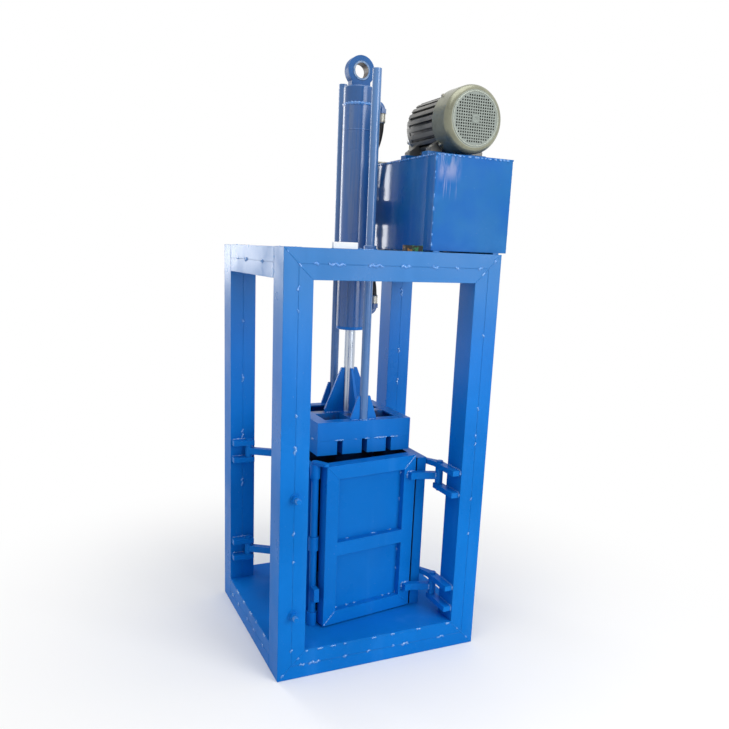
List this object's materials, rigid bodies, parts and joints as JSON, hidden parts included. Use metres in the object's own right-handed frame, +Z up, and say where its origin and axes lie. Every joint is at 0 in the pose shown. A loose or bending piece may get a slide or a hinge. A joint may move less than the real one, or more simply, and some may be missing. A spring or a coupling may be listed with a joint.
{
  "type": "vertical recycling baler",
  "caption": "Vertical hydraulic baler: open box-section frame, ram with a slotted platen on guide rods, bale chamber with a hinged door, oil tank and motor on top.",
  "frame": {"origin": "on the floor at the middle of the frame's footprint, under the middle floor bearer", "axes": "+Z up along the ram's travel, -Y to the front where the door is, +X to the right seen from the front"},
  "size_m": [0.8325, 0.783, 2.167],
  "materials": {
    "blue_paint": "gloss enamel",
    "rod_chrome": "polished",
    "machined_steel": "machined",
    "bush_bronze": "turned",
    "hose_rubber": "matt",
    "motor_grey": "semi-gloss",
    "pump_aluminium": "die cast",
    "fan_plastic": "moulded",
    "strip_plastic": "moulded"
  },
  "bodies": {
    "frame": {"base_plate": "blue_paint", "breather_cap": "fan_plastic", "chamber_left_wall": "blue_paint", "chamber_rear_wall": "blue_paint", "chamber_right_wall": "blue_paint", "clamp_bolts": "blue_paint", "clamp_nuts": "blue_paint", "control_valve": "machined_steel", "cylinder_barrel": "blue_paint", "cylinder_cap": "blue_paint", "cylinder_gland": "blue_paint", "eye_bush": "bush_bronze", "floor_bearers": "blue_paint", "front_bottom_beam": "blue_paint", "front_left_post": "blue_paint", "front_right_post": "blue_paint", "front_top_beam": "blue_paint", "gear_pump": "pump_aluminium", "guide_bushes": "blue_paint", "head_plate": "blue_paint", "hinge_lugs": "blue_paint", "hinge_pins": "blue_paint", "left_bottom_beam": "blue_paint", "left_top_beam": "blue_paint", "lock_sleeves": "blue_paint", "lower_hose": "hose_rubber", "motor_end_shields": "motor_grey", "motor_fan_cover": "motor_grey", "motor_housing": "motor_grey", "motor_rails": "blue_paint", "motor_terminal_box": "motor_grey", "oil_tank": "blue_paint", "port_elbows": "machined_steel", "pump_pipes": "machined_steel", "rear_bottom_beam": "blue_paint", "rear_left_post": "blue_paint", "rear_right_post": "blue_paint", "rear_top_beam": "blue_paint", "right_bottom_beam": "blue_paint", "right_top_beam": "blue_paint", "tank_lid": "blue_paint", "tank_runners": "blue_paint", "terminal_strip": "strip_plastic", "top_cross_beams": "blue_paint", "upper_hose": "hose_rubber", "wall_arms": "blue_paint"},
    "ram": {"piston": "machined_steel", "piston_rod": "rod_chrome", "platen_ring": "blue_paint", "platen_cross": "blue_paint", "platen_shoes": "blue_paint", "guide_rods": "blue_paint", "platen_gussets": "blue_paint"},
    "front_door": {"door_frame": "blue_paint", "door_skin": "blue_paint", "door_arms": "blue_paint"},
    "lock": {"lock_bar": "blue_paint"},
    "rotor": {"motor_rotor": "machined_steel", "motor_fan": "fan_plastic"},
    "lever": {"valve_lever": "machined_steel"}
  },
  "joints": [
    {"name": "ram_slide", "type": "slide", "parent": "frame", "child": "ram", "axis": [0, 0, 1], "range_m": [-0.51, 0.12]},
    {"name": "door_hinge", "type": "hinge", "parent": "frame", "child": "front_door", "pos_m": [0.284, -0.2405, 0], "axis": [0, 0, 1], "range_deg": [-8, 87]},
    {"name": "lock_turn", "type": "hinge", "parent": "frame", "child": "lock", "pos_m": [-0.213, -0.2068, 0], "axis": [0, 0, 1], "range_deg": [-50, 12]},
    {"name": "rotor_spin", "type": "hinge", "parent": "frame", "child": "rotor", "pos_m": [0.269, 0, 1.931], "axis": [0, 1, 0], "continuous": true},
    {"name": "lever_tilt", "type": "hinge", "parent": "frame", "child": "lever", "pos_m": [0.084, 0.2205, 1.638], "axis": [1, 0, 0], "range_deg": [-12, 12], "stiffness_Nm_per_rad": 20}
  ]
}
